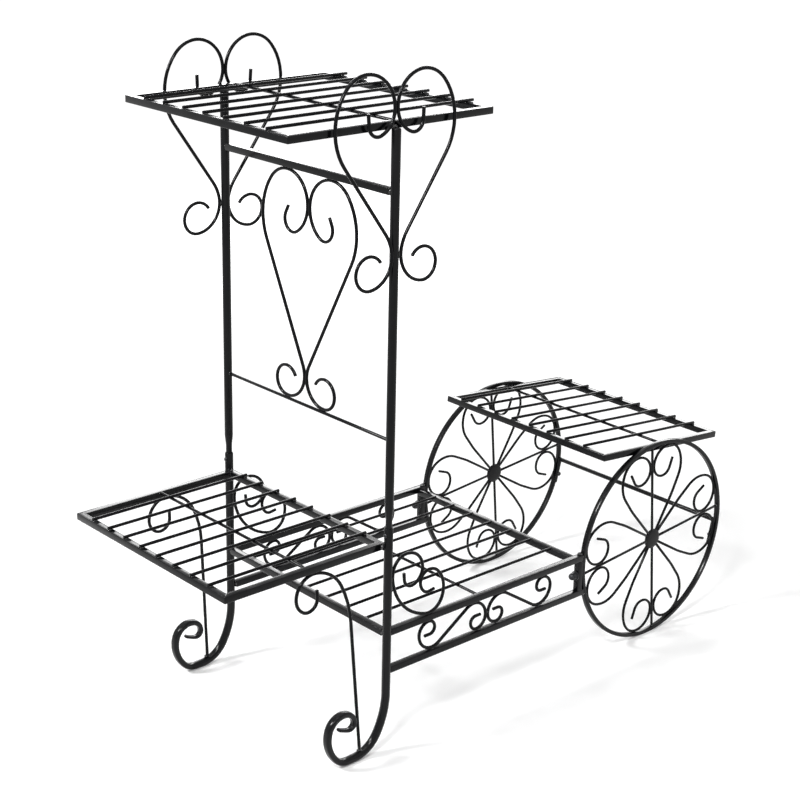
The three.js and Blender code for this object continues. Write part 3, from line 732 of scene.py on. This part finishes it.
def upper_post(y):
    """A post of round tube, drawn down to the plug that sits in the leg."""
    neck_top = JOINT_HEIGHT + NECK
    foot = JOINT_HEIGHT - PLUG_DEPTH + GAP
    profile = [(0, foot), (PLUG_RADIUS, foot), (PLUG_RADIUS, neck_top - 1.5)]
    for i in range(9):
        share = i / 8
        radius = mix(PLUG_RADIUS, POST_RADIUS, smoothstep(share, -0.15, 1.1))
        profile.append((radius, neck_top + SHOULDER * share))
    profile += [(POST_RADIUS, POST_TOP - 1), (POST_RADIUS - 0.3, POST_TOP - 0.3)]
    profile += [(POST_RADIUS - 1, POST_TOP), (0, POST_TOP)]
    bm = turned(profile, TUBE_SIDES)
    move(bm, Matrix.Translation((0, y, 0)))
    return bm


def pressed(corner, press):
    """A point of the round section, drawn towards a rounded rectangle as far as the foot is pressed."""
    x, y = corner
    power = mix(1, 0.62, press)
    return math.copysign(abs(x) ** power, x), math.copysign(abs(y) ** power, y)


def leg_profile(run, length):
    bore = POST_RADIUS - POST_WALL
    profile = [(0, PLUG_DEPTH), (bore, PLUG_DEPTH), (bore, 0.4)]
    profile += [(bore + 0.3, 0), (POST_RADIUS - 0.3, 0), (POST_RADIUS, 0.4)]
    profile += [(POST_RADIUS, run * i / 6) for i in range(1, 7)]
    steps = 130
    profile += [(POST_RADIUS, run + (length - run) * i / steps) for i in range(1, steps + 1)]
    return profile + [(POST_RADIUS * 0.8, length + 0.9), (0, length + 1.2)]


def bent_leg(run):
    """The leg turned straight from its mouth down, then bent along its path."""
    stations = follow([straight(run)] + FOOT, -math.pi / 2, (0, JOINT_HEIGHT))
    length = stations[-1][3]
    bm = turned(leg_profile(run, length), TUBE_SIDES)
    for vert in bm.verts:
        along = vert.co.z
        u, v, heading = station_at(stations, min(along, length))
        beyond = max(0, along - length)
        flatness, width, press = foot_section(max(0, along - run) / (length - run))
        x, y = pressed((vert.co.x / POST_RADIUS, vert.co.y / POST_RADIUS), press)
        in_plane = x * POST_RADIUS * flatness
        u += math.cos(heading) * beyond
        v += math.sin(heading) * beyond
        u -= math.sin(heading) * in_plane
        v += math.cos(heading) * in_plane
        vert.co = (u, y * POST_RADIUS * width, v)
    bmesh.ops.recalc_face_normals(bm, faces=bm.faces)
    return bm


def leg_run():
    """How far the leg runs straight down, so that its foot just stands on the floor."""
    trial = JOINT_HEIGHT / 2
    bm = bent_leg(trial)
    lowest = min(vert.co.z for vert in bm.verts)
    bm.free()
    return trial + lowest


LEG_RUN = leg_run()


def foot_top(distance):
    """The height of the upper side of the foot at a distance in front of the post axis."""
    stations = follow([straight(LEG_RUN)] + FOOT, -math.pi / 2, (0, JOINT_HEIGHT))
    for a, b in zip(stations, stations[1:]):
        if b[0] < -distance:
            share = (distance + a[0]) / (a[0] - b[0])
            return mix(a[1], b[1], share) + POST_RADIUS / abs(math.cos((a[2] + b[2]) / 2))


def brace():
    hook = [straight(9), bend(13, -125), bend(19, -60), bend(24.5, -95)]
    moves = hook + [bend(45, -55), bend(120, -23.5)]
    heading = math.radians(-88)
    box = extent(moves, heading)
    end = box["end"]
    top = LEFT_TOP - RAIL - GAP - WIRE
    foot = foot_top(BRACE_STATION - WIRE) - 0.6
    last = (foot - (top - box["top"] + end[1])) / math.sin(end[2])
    start = (-BRACE_STATION - last * math.cos(end[2]) - end[0], top - box["top"])
    return moves + [straight(last)], heading, start


def posts_and_legs():
    for label, side in SIDES:
        y = side * POST_Y
        piece(f"post_{label}", upper_post(y), [f"upper_post_{label}"])
        leg = bent_leg(LEG_RUN)
        move(leg, Matrix.Translation((0, y, 0)))
        piece(f"scroll_leg_{label}", leg, [f"leg_{label}"], crisp=50)

        rail_y = side * (TRAY_HALF - RAIL / 2)
        lean = (rail_y - y) / LEFT_TOP
        hook = bent_wire(*brace(), WIRE)
        move(hook, plane((1, 0, 0), (0, lean, 1), (0, 1, 0), (0, y, 0)))
        piece(f"brace_{label}", hook, [f"leg_brace_{label}"], WIRE_COAT)
        foot = foot_top(BRACE_STATION)
        bead("legs", (-BRACE_STATION + 1.5, y, foot), (6.5, 4.6, 3), (1, 0, -0.45), seed=1)
        bead("legs", (-BRACE_STATION - 2, y, foot + 1.2), (4, 4, 3.4), seed=5)
        left_rail = LEFT_TOP - RAIL / 2
        inner = (-POST_RADIUS - 0.6, side * (TRAY_HALF - 3), left_rail)
        bead("legs", inner, (4.5, RAIL, RAIL * 1.05), seed=2)
        bead("legs", (-POST_RADIUS + 1, side * (TRAY_HALF + 1), left_rail), (7, 4, RAIL), seed=7)
        around = (2.6, RAIL * 1.02, RAIL * 1.04)
        for height in (MIDDLE_TOP - RAIL / 2, LOWER_TOP - RAIL / 2):
            bead("legs", (POST_RADIUS + 0.1, side * WHEEL_Y, height), around, seed=height)
        bead("legs", (0, side * (POST_Y - POST_RADIUS), MIDDLE_TOP - RAIL / 2), (RAIL, 2.6, RAIL), seed=4)


# ---------------------------------------------------------------- rails, hearts and scrolls


def side_rails():
    start = POST_RADIUS
    for label, side in SIDES:
        y = side * WHEEL_Y
        height = MIDDLE_TOP - RAIL / 2
        upper = square_bar((RIM_STATION - start, RAIL, RAIL), ((RIM_STATION + start) / 2, y, height))
        piece(f"upper_rail_{label}", upper, [f"middle_side_rail_{label}"])
        end = WHEEL_X - math.sqrt(WHEEL_RADIUS**2 - (LOWER_TOP - WHEEL_RADIUS) ** 2)
        lower = square_bar((end - start, RAIL, RAIL), ((end + start) / 2, y, LOWER_TOP - RAIL / 2))
        piece(f"lower_rail_{label}", lower, [f"lower_side_rail_{label}"])
        foot, head = LOWER_TOP - 0.3, MIDDLE_TOP - RAIL + 0.3
        x = RIM_STATION - RAIL / 2
        post = square_bar((RAIL, RAIL, head - foot), (x, y, (head + foot) / 2), 0.8)
        piece(f"short_post_{label}", post, [f"end_post_{label}"])
        bead("rims", (RIM_STATION - 2.5, y - side * 0.5, MIDDLE_TOP + 0.8), (7.5, 6.5, 4.4), seed=1)
        bead("rims", (RIM_STATION - 0.2, y, height), (2.4, RAIL, RAIL), seed=2)
        bead("rims", (end + 1, y, LOWER_TOP - RAIL + 0.5), (6, RAIL * 0.9, 4.4), (1, 0, -0.7), seed=6)
        around = (RAIL * 1.1, RAIL * 1.06, 1.8)
        bead("rims", (x, y, LOWER_TOP + 0.2), around, seed=3)
        bead("rims", (x, y, MIDDLE_TOP - RAIL - 0.2), around, seed=8)


def touches(wire):
    """The lowest, the highest and the leftmost station of a wire."""
    moves, heading, start = wire
    path = follow(moves, heading, start)
    return min(path, key=lambda s: s[1]), max(path, key=lambda s: s[1]), min(path, key=lambda s: s[0])


def side_wires():
    waist = side_waist_height()
    out = BESIDE_POST * math.cos(math.radians(GRIP_ANGLE))
    grip = BESIDE_POST * math.sin(math.radians(GRIP_ANGLE))
    lean = grip / (TOP_TOP - waist)
    bay = (POST_RADIUS + RIM_STATION - RAIL) / 2
    low, high, _ = touches(s_scroll())
    foot, _, back = touches(corner_scroll())
    for label, side in SIDES:
        for half, hand in ((-1, "left"), (1, "right")):
            heart = bent_wire(*side_heart(), WIRE)
            foot_y = side * (POST_Y + grip + lean * waist)
            move(heart, plane((half, 0, 0), (0, -side * lean, 1), (0, 1, 0), (0, foot_y, 0)))
            piece(f"heart_{label}_{hand}", heart, [f"side_heart_{label}_{hand}"], WIRE_COAT)
            scroll = bent_wire(*s_scroll(), WIRE)
            move(scroll, plane((-half, 0, 0), (0, 0, 1), (0, 1, 0), (bay, side * WHEEL_Y, 0)))
            piece(f"rail_scroll_{label}_{hand}", scroll, [f"s_scroll_{label}_{hand}"], WIRE_COAT)
            for u, v, _, run in (low, high):
                rail = math.copysign(WIRE + GAP, v - (LOWER_TOP + MIDDLE_TOP) / 2)
                bead("scrolls", (bay - half * u, side * (WHEEL_Y + 0.4), v + rail), (5.4, 3.4, 2), seed=run)
            beside = (half * (out - 1.2), side * (POST_Y + grip - 0.9), waist)
            bead("hearts", beside, (3.2, 3, 7), seed=half + side)
            bead("hearts", (half * 1.6, side * (POST_Y - 3.4), POST_TOP + 1), (4, 4.4, 4.6), seed=half * 3)
        corner = bent_wire(*corner_scroll(), WIRE)
        move(corner, alongside(side * POST_Y))
        piece(f"corner_wire_{label}", corner, [f"corner_scroll_{label}"], WIRE_COAT)
        bead("scrolls", (foot[0], side * (POST_Y - 1), MIDDLE_TOP), (5.6, 4, 2.4), seed=5)
        bead("scrolls", (POST_RADIUS, side * POST_Y, back[1]), (2, 3.2, 5.4), seed=6)
        bead("scrolls", (bay, side * WHEEL_Y, (LOWER_TOP + MIDDLE_TOP - RAIL) / 2), (3, 3, 4.6), seed=side)


def centre_wires():
    inside = POST_Y - POST_RADIUS
    bar = square_bar((RAIL, 2 * inside, RAIL), (0, 0, CROSSBAR_HEIGHT))
    piece("crossbar", bar, ["top_crossbar"])
    rod = round_bar(WIRE + COAT, 2 * inside + 0.4, (0, 0, HEART_ROD_HEIGHT), "y")
    piece("heart_rod", rod, ["heart_cross_rod"], WIRE_COAT)
    slope = CENTRE_LEAN / (CENTRE_TOP - CENTRE_BOTTOM)
    for label, side in SIDES:
        heart = bent_wire(*centre_heart(), WIRE)
        move(heart, plane((0, side, 0), (0, -slope, 1), (1, 0, 0), (0, slope * CENTRE_BOTTOM, 0)))
        piece(f"centre_wire_{label}", heart, [f"centre_heart_{label}"], WIRE_COAT)
        bead("hearts", (0, side * inside, CROSSBAR_HEIGHT), (RAIL * 1.02, 2.6, RAIL * 1.04), seed=side)
        bead("hearts", (0, side * (inside + 0.2), HEART_ROD_HEIGHT), (4.6, 3.4, 4.6), seed=side + 4)


# ---------------------------------------------------------------- wheels
RIM_SIDES = 160
RIM_EDGE = 0.7


def wheel_rim(side):
    """A square-edged hoop: its section is spun about the axle and its four edges are broken."""
    half = RIM_WIDTH / 2
    bm = bmesh.new()
    corners = [(RIM_INNER, -half), (WHEEL_RADIUS, -half), (WHEEL_RADIUS, half), (RIM_INNER, half)]
    verts = [bm.verts.new((radius, 0, height)) for radius, height in corners]
    edges = [bm.edges.new(pair) for pair in zip(verts, verts[1:] + verts[:1])]
    spin_round(bm, verts + edges, RIM_SIDES)
    rounded(bm, sharp_edges(bm), RIM_EDGE)
    move(bm, Matrix.Translation((WHEEL_X, side * WHEEL_Y, WHEEL_RADIUS)) @ ALONG_Y)
    return bm


def hub():
    """A stamped disc with a faintly raised face and a rounded edge, and four straight spokes."""
    half = HUB_THICKNESS / 2
    edge = 1.4
    outline = [(0, -half), (HUB_RADIUS * 0.72, -half), (HUB_RADIUS * 0.86, -half + 0.35)]
    outline += [(HUB_RADIUS - 0.5, -edge), (HUB_RADIUS, -edge + 0.5)]
    bm = turned(outline + [(radius, -height) for radius, height in reversed(outline)], 48)
    inner, outer = HUB_RADIUS - 1.6, RIM_INNER + 0.2
    for quarter in range(4):
        spoke = round_bar(SPOKE + COAT, outer - inner, (0, 0, 0), "z", 14, 0.2)
        turn = Matrix.Rotation(quarter * math.pi / 2, 4, "Z") @ ALONG_Y
        move(spoke, turn @ Matrix.Translation((0, 0, (inner + outer) / 2)))
        add(bm, spoke)
    return bm


def wheels():
    for label, side in SIDES:
        piece(f"rim_{label}", wheel_rim(side), [f"wheel_rim_{label}"])
        upright = alongside(side * WHEEL_Y)
        axle = Matrix.Translation((WHEEL_X, 0, WHEEL_RADIUS))
        turn = axle @ Matrix.Rotation(-math.radians(WHEEL_TURN), 4, "Y")
        middle = hub()
        move(middle, turn @ upright)
        piece(f"hub_{label}", middle, [f"wheel_hub_{label}"])
        for quarter in range(4):
            angle = quarter * math.pi / 2
            spin = Matrix.Rotation(angle, 4, "Y")
            for half in (-1, 1):
                number = 2 * quarter + (1 if half < 0 else 2)
                scroll = bent_wire(*wheel_scroll(), SPOKE, sides=12)
                move(scroll, turn @ spin @ alongside(side * WHEEL_Y, half))
                piece(f"petal_{label}_{number}", scroll, [f"wheel_scroll_{label}_{number}"], WIRE_COAT)
            touch = turn @ spin @ Vector((0, side * WHEEL_Y, RIM_INNER * 0.76))
            bead("wheels", touch, (4.4, 2.6, 4.6), seed=quarter + side)
            end = turn @ spin @ Vector((0, side * WHEEL_Y, RIM_INNER - 0.3))
            bead("wheels", end, (4.6, 4, 2.4), (math.cos(angle), 0, -math.sin(angle)), seed=quarter)


# ---------------------------------------------------------------- cross tube and fasteners
RIM_MIDDLE = WHEEL_RADIUS - RIM_DEPTH / 2


def rim_point(height):
    angle = math.asin((height - WHEEL_RADIUS) / RIM_MIDDLE)
    return WHEEL_X + RIM_MIDDLE * math.cos(angle), height, angle


def cross_tube():
    """The round tube between the wheels; its pressed ends are bent down along the rims."""
    x, z, _ = rim_point(CROSS_TUBE_HEIGHT)
    _, _, angle = rim_point(CROSS_TUBE_HEIGHT - SCREW_DROP)
    bm = round_bar(CROSS_TUBE_RADIUS, TRAY_WIDTH, (x, 0, z), "y", 28, 0.8)
    for side in (-1, 1):
        tab = square_bar((TAB_WIDTH, TAB_THICKNESS, TAB_LENGTH), (0, 0, 0), 0.8)
        place = Matrix.Translation((x, 0, z)) @ Matrix.Rotation(-angle, 4, "Y")
        end = side * (TRAY_HALF - TAB_THICKNESS / 2)
        move(tab, place @ Matrix.Translation((0, end, (CROSS_TUBE_RADIUS - TAB_LENGTH) / 2)))
        add(bm, tab)
    piece("tube_between_wheels", bm, ["wheel_cross_tube"])


def screw_head(radius, height):
    """A pan head with a cross recess; it looks along +Z and stands on z = 0."""
    profile = [(0, height * 0.55), (radius * 0.13, height * 0.6)]
    profile += [(radius * 0.16, height), (radius * 0.55, height * 0.94), (radius * 0.85, height * 0.68)]
    profile += [(radius, height * 0.3), (radius, 0), (0, 0)]
    bm = turned(profile, 24)
    for turn in (0, 1):
        slot = square_bar((radius * 1.1, radius * 0.22, 0.2), (0, 0, height * 0.97), 0.05)
        move(slot, Matrix.Rotation(turn * math.pi / 2 + 0.4, 4, "Z"))
        add(bm, slot)
    return bm


def wheel_bolt(side):
    """The dome-headed bolt through the short post into the rim, with its washer."""
    face = -RAIL - GAP
    tip = RIM_DEPTH + GAP
    top = face - BOLT_HEAD
    profile = [(0, top)]
    for i in range(1, 9):
        turn = i * math.pi / 16
        profile.append((BOLT_RADIUS * math.sin(turn), top + BOLT_DOME * (1 - math.cos(turn))))
    profile += [(BOLT_RADIUS, face - BOLT_HEAD * 0.24), (WASHER_RADIUS - 0.15, face - BOLT_HEAD * 0.2)]
    profile += [(WASHER_RADIUS, face - BOLT_HEAD * 0.16), (WASHER_RADIUS, face - 0.3)]
    profile += [(WASHER_RADIUS - 0.35, face), (BOLT_SHANK, face), (BOLT_SHANK, tip - 0.4)]
    profile += [(BOLT_SHANK - 0.4, tip), (0, tip)]
    bm = turned(profile, TUBE_SIDES)
    move(bm, Matrix.Translation((RIM_STATION, side * WHEEL_Y, BOLT_HEIGHT)) @ ALONG_X)
    return bm


def fasteners():
    x, z, _ = rim_point(CROSS_TUBE_HEIGHT - SCREW_DROP)
    to_left = Matrix.Rotation(-math.pi / 2, 4, "Y")
    for label, side in SIDES:
        piece(f"dome_bolt_{label}", wheel_bolt(side), [f"wheel_bolt_{label}"], ZINC)
        screw = screw_head(3, 2.4)
        add(screw, round_bar(1.5, 9, (0, 0, -4.3), "z", 16))
        inside = Matrix.Translation((x, side * (TRAY_HALF - TAB_THICKNESS - GAP), z))
        move(screw, inside @ Matrix.Rotation(side * math.pi / 2, 4, "X"))
        piece(f"tube_screw_{label}", screw, [f"cross_tube_screw_{label}"], ZINC)

        joint = screw_head(2.6, 1.6)
        move(joint, Matrix.Translation((-POST_RADIUS + 0.15, side * POST_Y, JOINT_HEIGHT - 8)) @ to_left)
        cap = screw_head(2.2, 1.4)
        under_bolt = (RIM_STATION - RAIL - 0.1, side * (WHEEL_Y - 0.6), BOLT_HEIGHT - 11.5)
        move(cap, Matrix.Translation(under_bolt) @ to_left)
        add(joint, cap)
        piece(f"small_screws_{label}", joint, coat=ZINC)


def weld_beads():
    for group, bm in BEADS.items():
        piece(f"welds_{group}", bm, coat=WELD_COAT, crisp=70)


# ---------------------------------------------------------------- studio
EYE = (STAND_X - 1178.66, -1466.27, 1048.4)
AZIMUTH = -42.04
ELEVATION = 19.55
ROLL = 1.2
FOCAL = 1775.88  # in pixels of the photograph
PHOTO_WIDTH = 800
SENSOR = 36


def seen_white(paint):
    """1 for the rays that show the background: from the camera, off gloss and through glass."""
    kinds = ("Is Camera Ray", "Is Glossy Ray", "Is Transmission Ray")
    camera_ray, gloss, glass = [paint.node("ShaderNodeLightPath", output=kind) for kind in kinds]
    return (camera_ray + gloss + glass).clamped()


def floor_coat():
    """White paper: it shows white to the camera and in reflections, and keeps the soft shadow."""
    paint = Paint("floor_paper")
    shown = seen_white(paint)
    place = paint.node("ShaderNodeTexCoord", output="Object")
    distance = paint.node("ShaderNodeVectorMath", {0: place}, "Value", operation="LENGTH")
    off_gloss = paint.node("ShaderNodeLightPath", output="Is Glossy Ray")
    far = paint.blend(off_gloss, grey(0.85), grey(0.68))
    white = paint.blend(distance.between(0.6, 2.0), grey(0.16), far)
    paper = paint.node("ShaderNodeBsdfDiffuse", {"Color": grey(0.92)})
    glow = paint.node("ShaderNodeEmission", {"Color": white, "Strength": 1.0})
    both = paint.node("ShaderNodeAddShader", {0: paper, 1: glow})
    surface = paint.node("ShaderNodeMixShader", {0: shown, 1: paper, 2: both})
    paint.finish(surface)
    return paint.material


def softbox(name, place, target, size, power, spread=180):
    """A rectangular lamp at a place in metres, turned to its target; the spread is in degrees."""
    lamp = bpy.data.lights.new(name, "AREA")
    lamp.shape = "RECTANGLE"
    lamp.size, lamp.size_y = size
    lamp.energy = power
    lamp.spread = math.radians(spread)
    box = bpy.data.objects.new(name, lamp)
    bpy.context.collection.objects.link(box)
    box.location = place
    box.rotation_euler = (Vector(target) - Vector(place)).to_track_quat("-Z", "Y").to_euler()
    box.visible_camera = False


def studio():
    bm = bmesh.new()
    bmesh.ops.create_grid(bm, x_segments=1, y_segments=1, size=40)
    mesh = bpy.data.meshes.new("paper_floor")
    bm.to_mesh(mesh)
    bm.free()
    mesh.materials.append(floor_coat())
    floor = bpy.data.objects.new("paper_floor", mesh)
    bpy.context.collection.objects.link(floor)

    world = bpy.data.worlds.new("studio")
    bpy.context.scene.world = world
    world.use_nodes = True
    air = Paint(tree=world.node_tree)
    soft = air.node("ShaderNodeBackground", {"Color": grey(1), "Strength": 0.25})
    white = air.node("ShaderNodeBackground", {"Color": grey(1), "Strength": 1.0})
    both = air.node("ShaderNodeMixShader", {0: seen_white(air), 1: soft, 2: white})
    air.finish(both, "ShaderNodeOutputWorld")

    softbox("overhead_box", (-0.5, -0.7, 2.3), (0, 0, 0.3), (0.8, 0.4), 8)
    softbox("back_panel", (1.94, 2.15, 1.115), (0, 0, 1.115), (2.4, 0.93), 46)
    softbox("left_box", (-1.62, 0.7, 1.58), (0, 0, 0.3), (0.4, 0.4), 9, 80)
    softbox("front_box", (-1.44, -0.84, 1.9), (0, 0, 0.5), (0.36, 0.36), 6, 80)


def camera():
    """The photograph's view, solved from the tray corners, posts and wheels."""
    azimuth, elevation, roll = math.radians(AZIMUTH), math.radians(ELEVATION), math.radians(ROLL)
    level = math.cos(elevation)
    back = Vector((math.sin(azimuth) * level, -math.cos(azimuth) * level, math.sin(elevation)))
    right = Vector((0, 0, 1)).cross(back).normalized()
    up = back.cross(right)
    leaning_right = right * math.cos(roll) + up * math.sin(roll)
    leaning_up = up * math.cos(roll) - right * math.sin(roll)
    lens = bpy.data.cameras.new("photo_view")
    lens.sensor_width = SENSOR
    lens.lens = SENSOR * FOCAL / PHOTO_WIDTH
    lens.clip_end = 100
    seen = bpy.data.objects.new("photo_view", lens)
    bpy.context.collection.objects.link(seen)
    axes = Matrix((leaning_right, leaning_up, back)).transposed().to_4x4()
    seen.matrix_world = Matrix.Translation(Vector(EYE) * MM) @ axes
    bpy.context.scene.camera = seen


camera()
trays()
middle_tray()
posts_and_legs()
side_rails()
side_wires()
centre_wires()
wheels()
cross_tube()
fasteners()
weld_beads()
studio()

bpy.context.scene.view_settings.view_transform = "Standard"
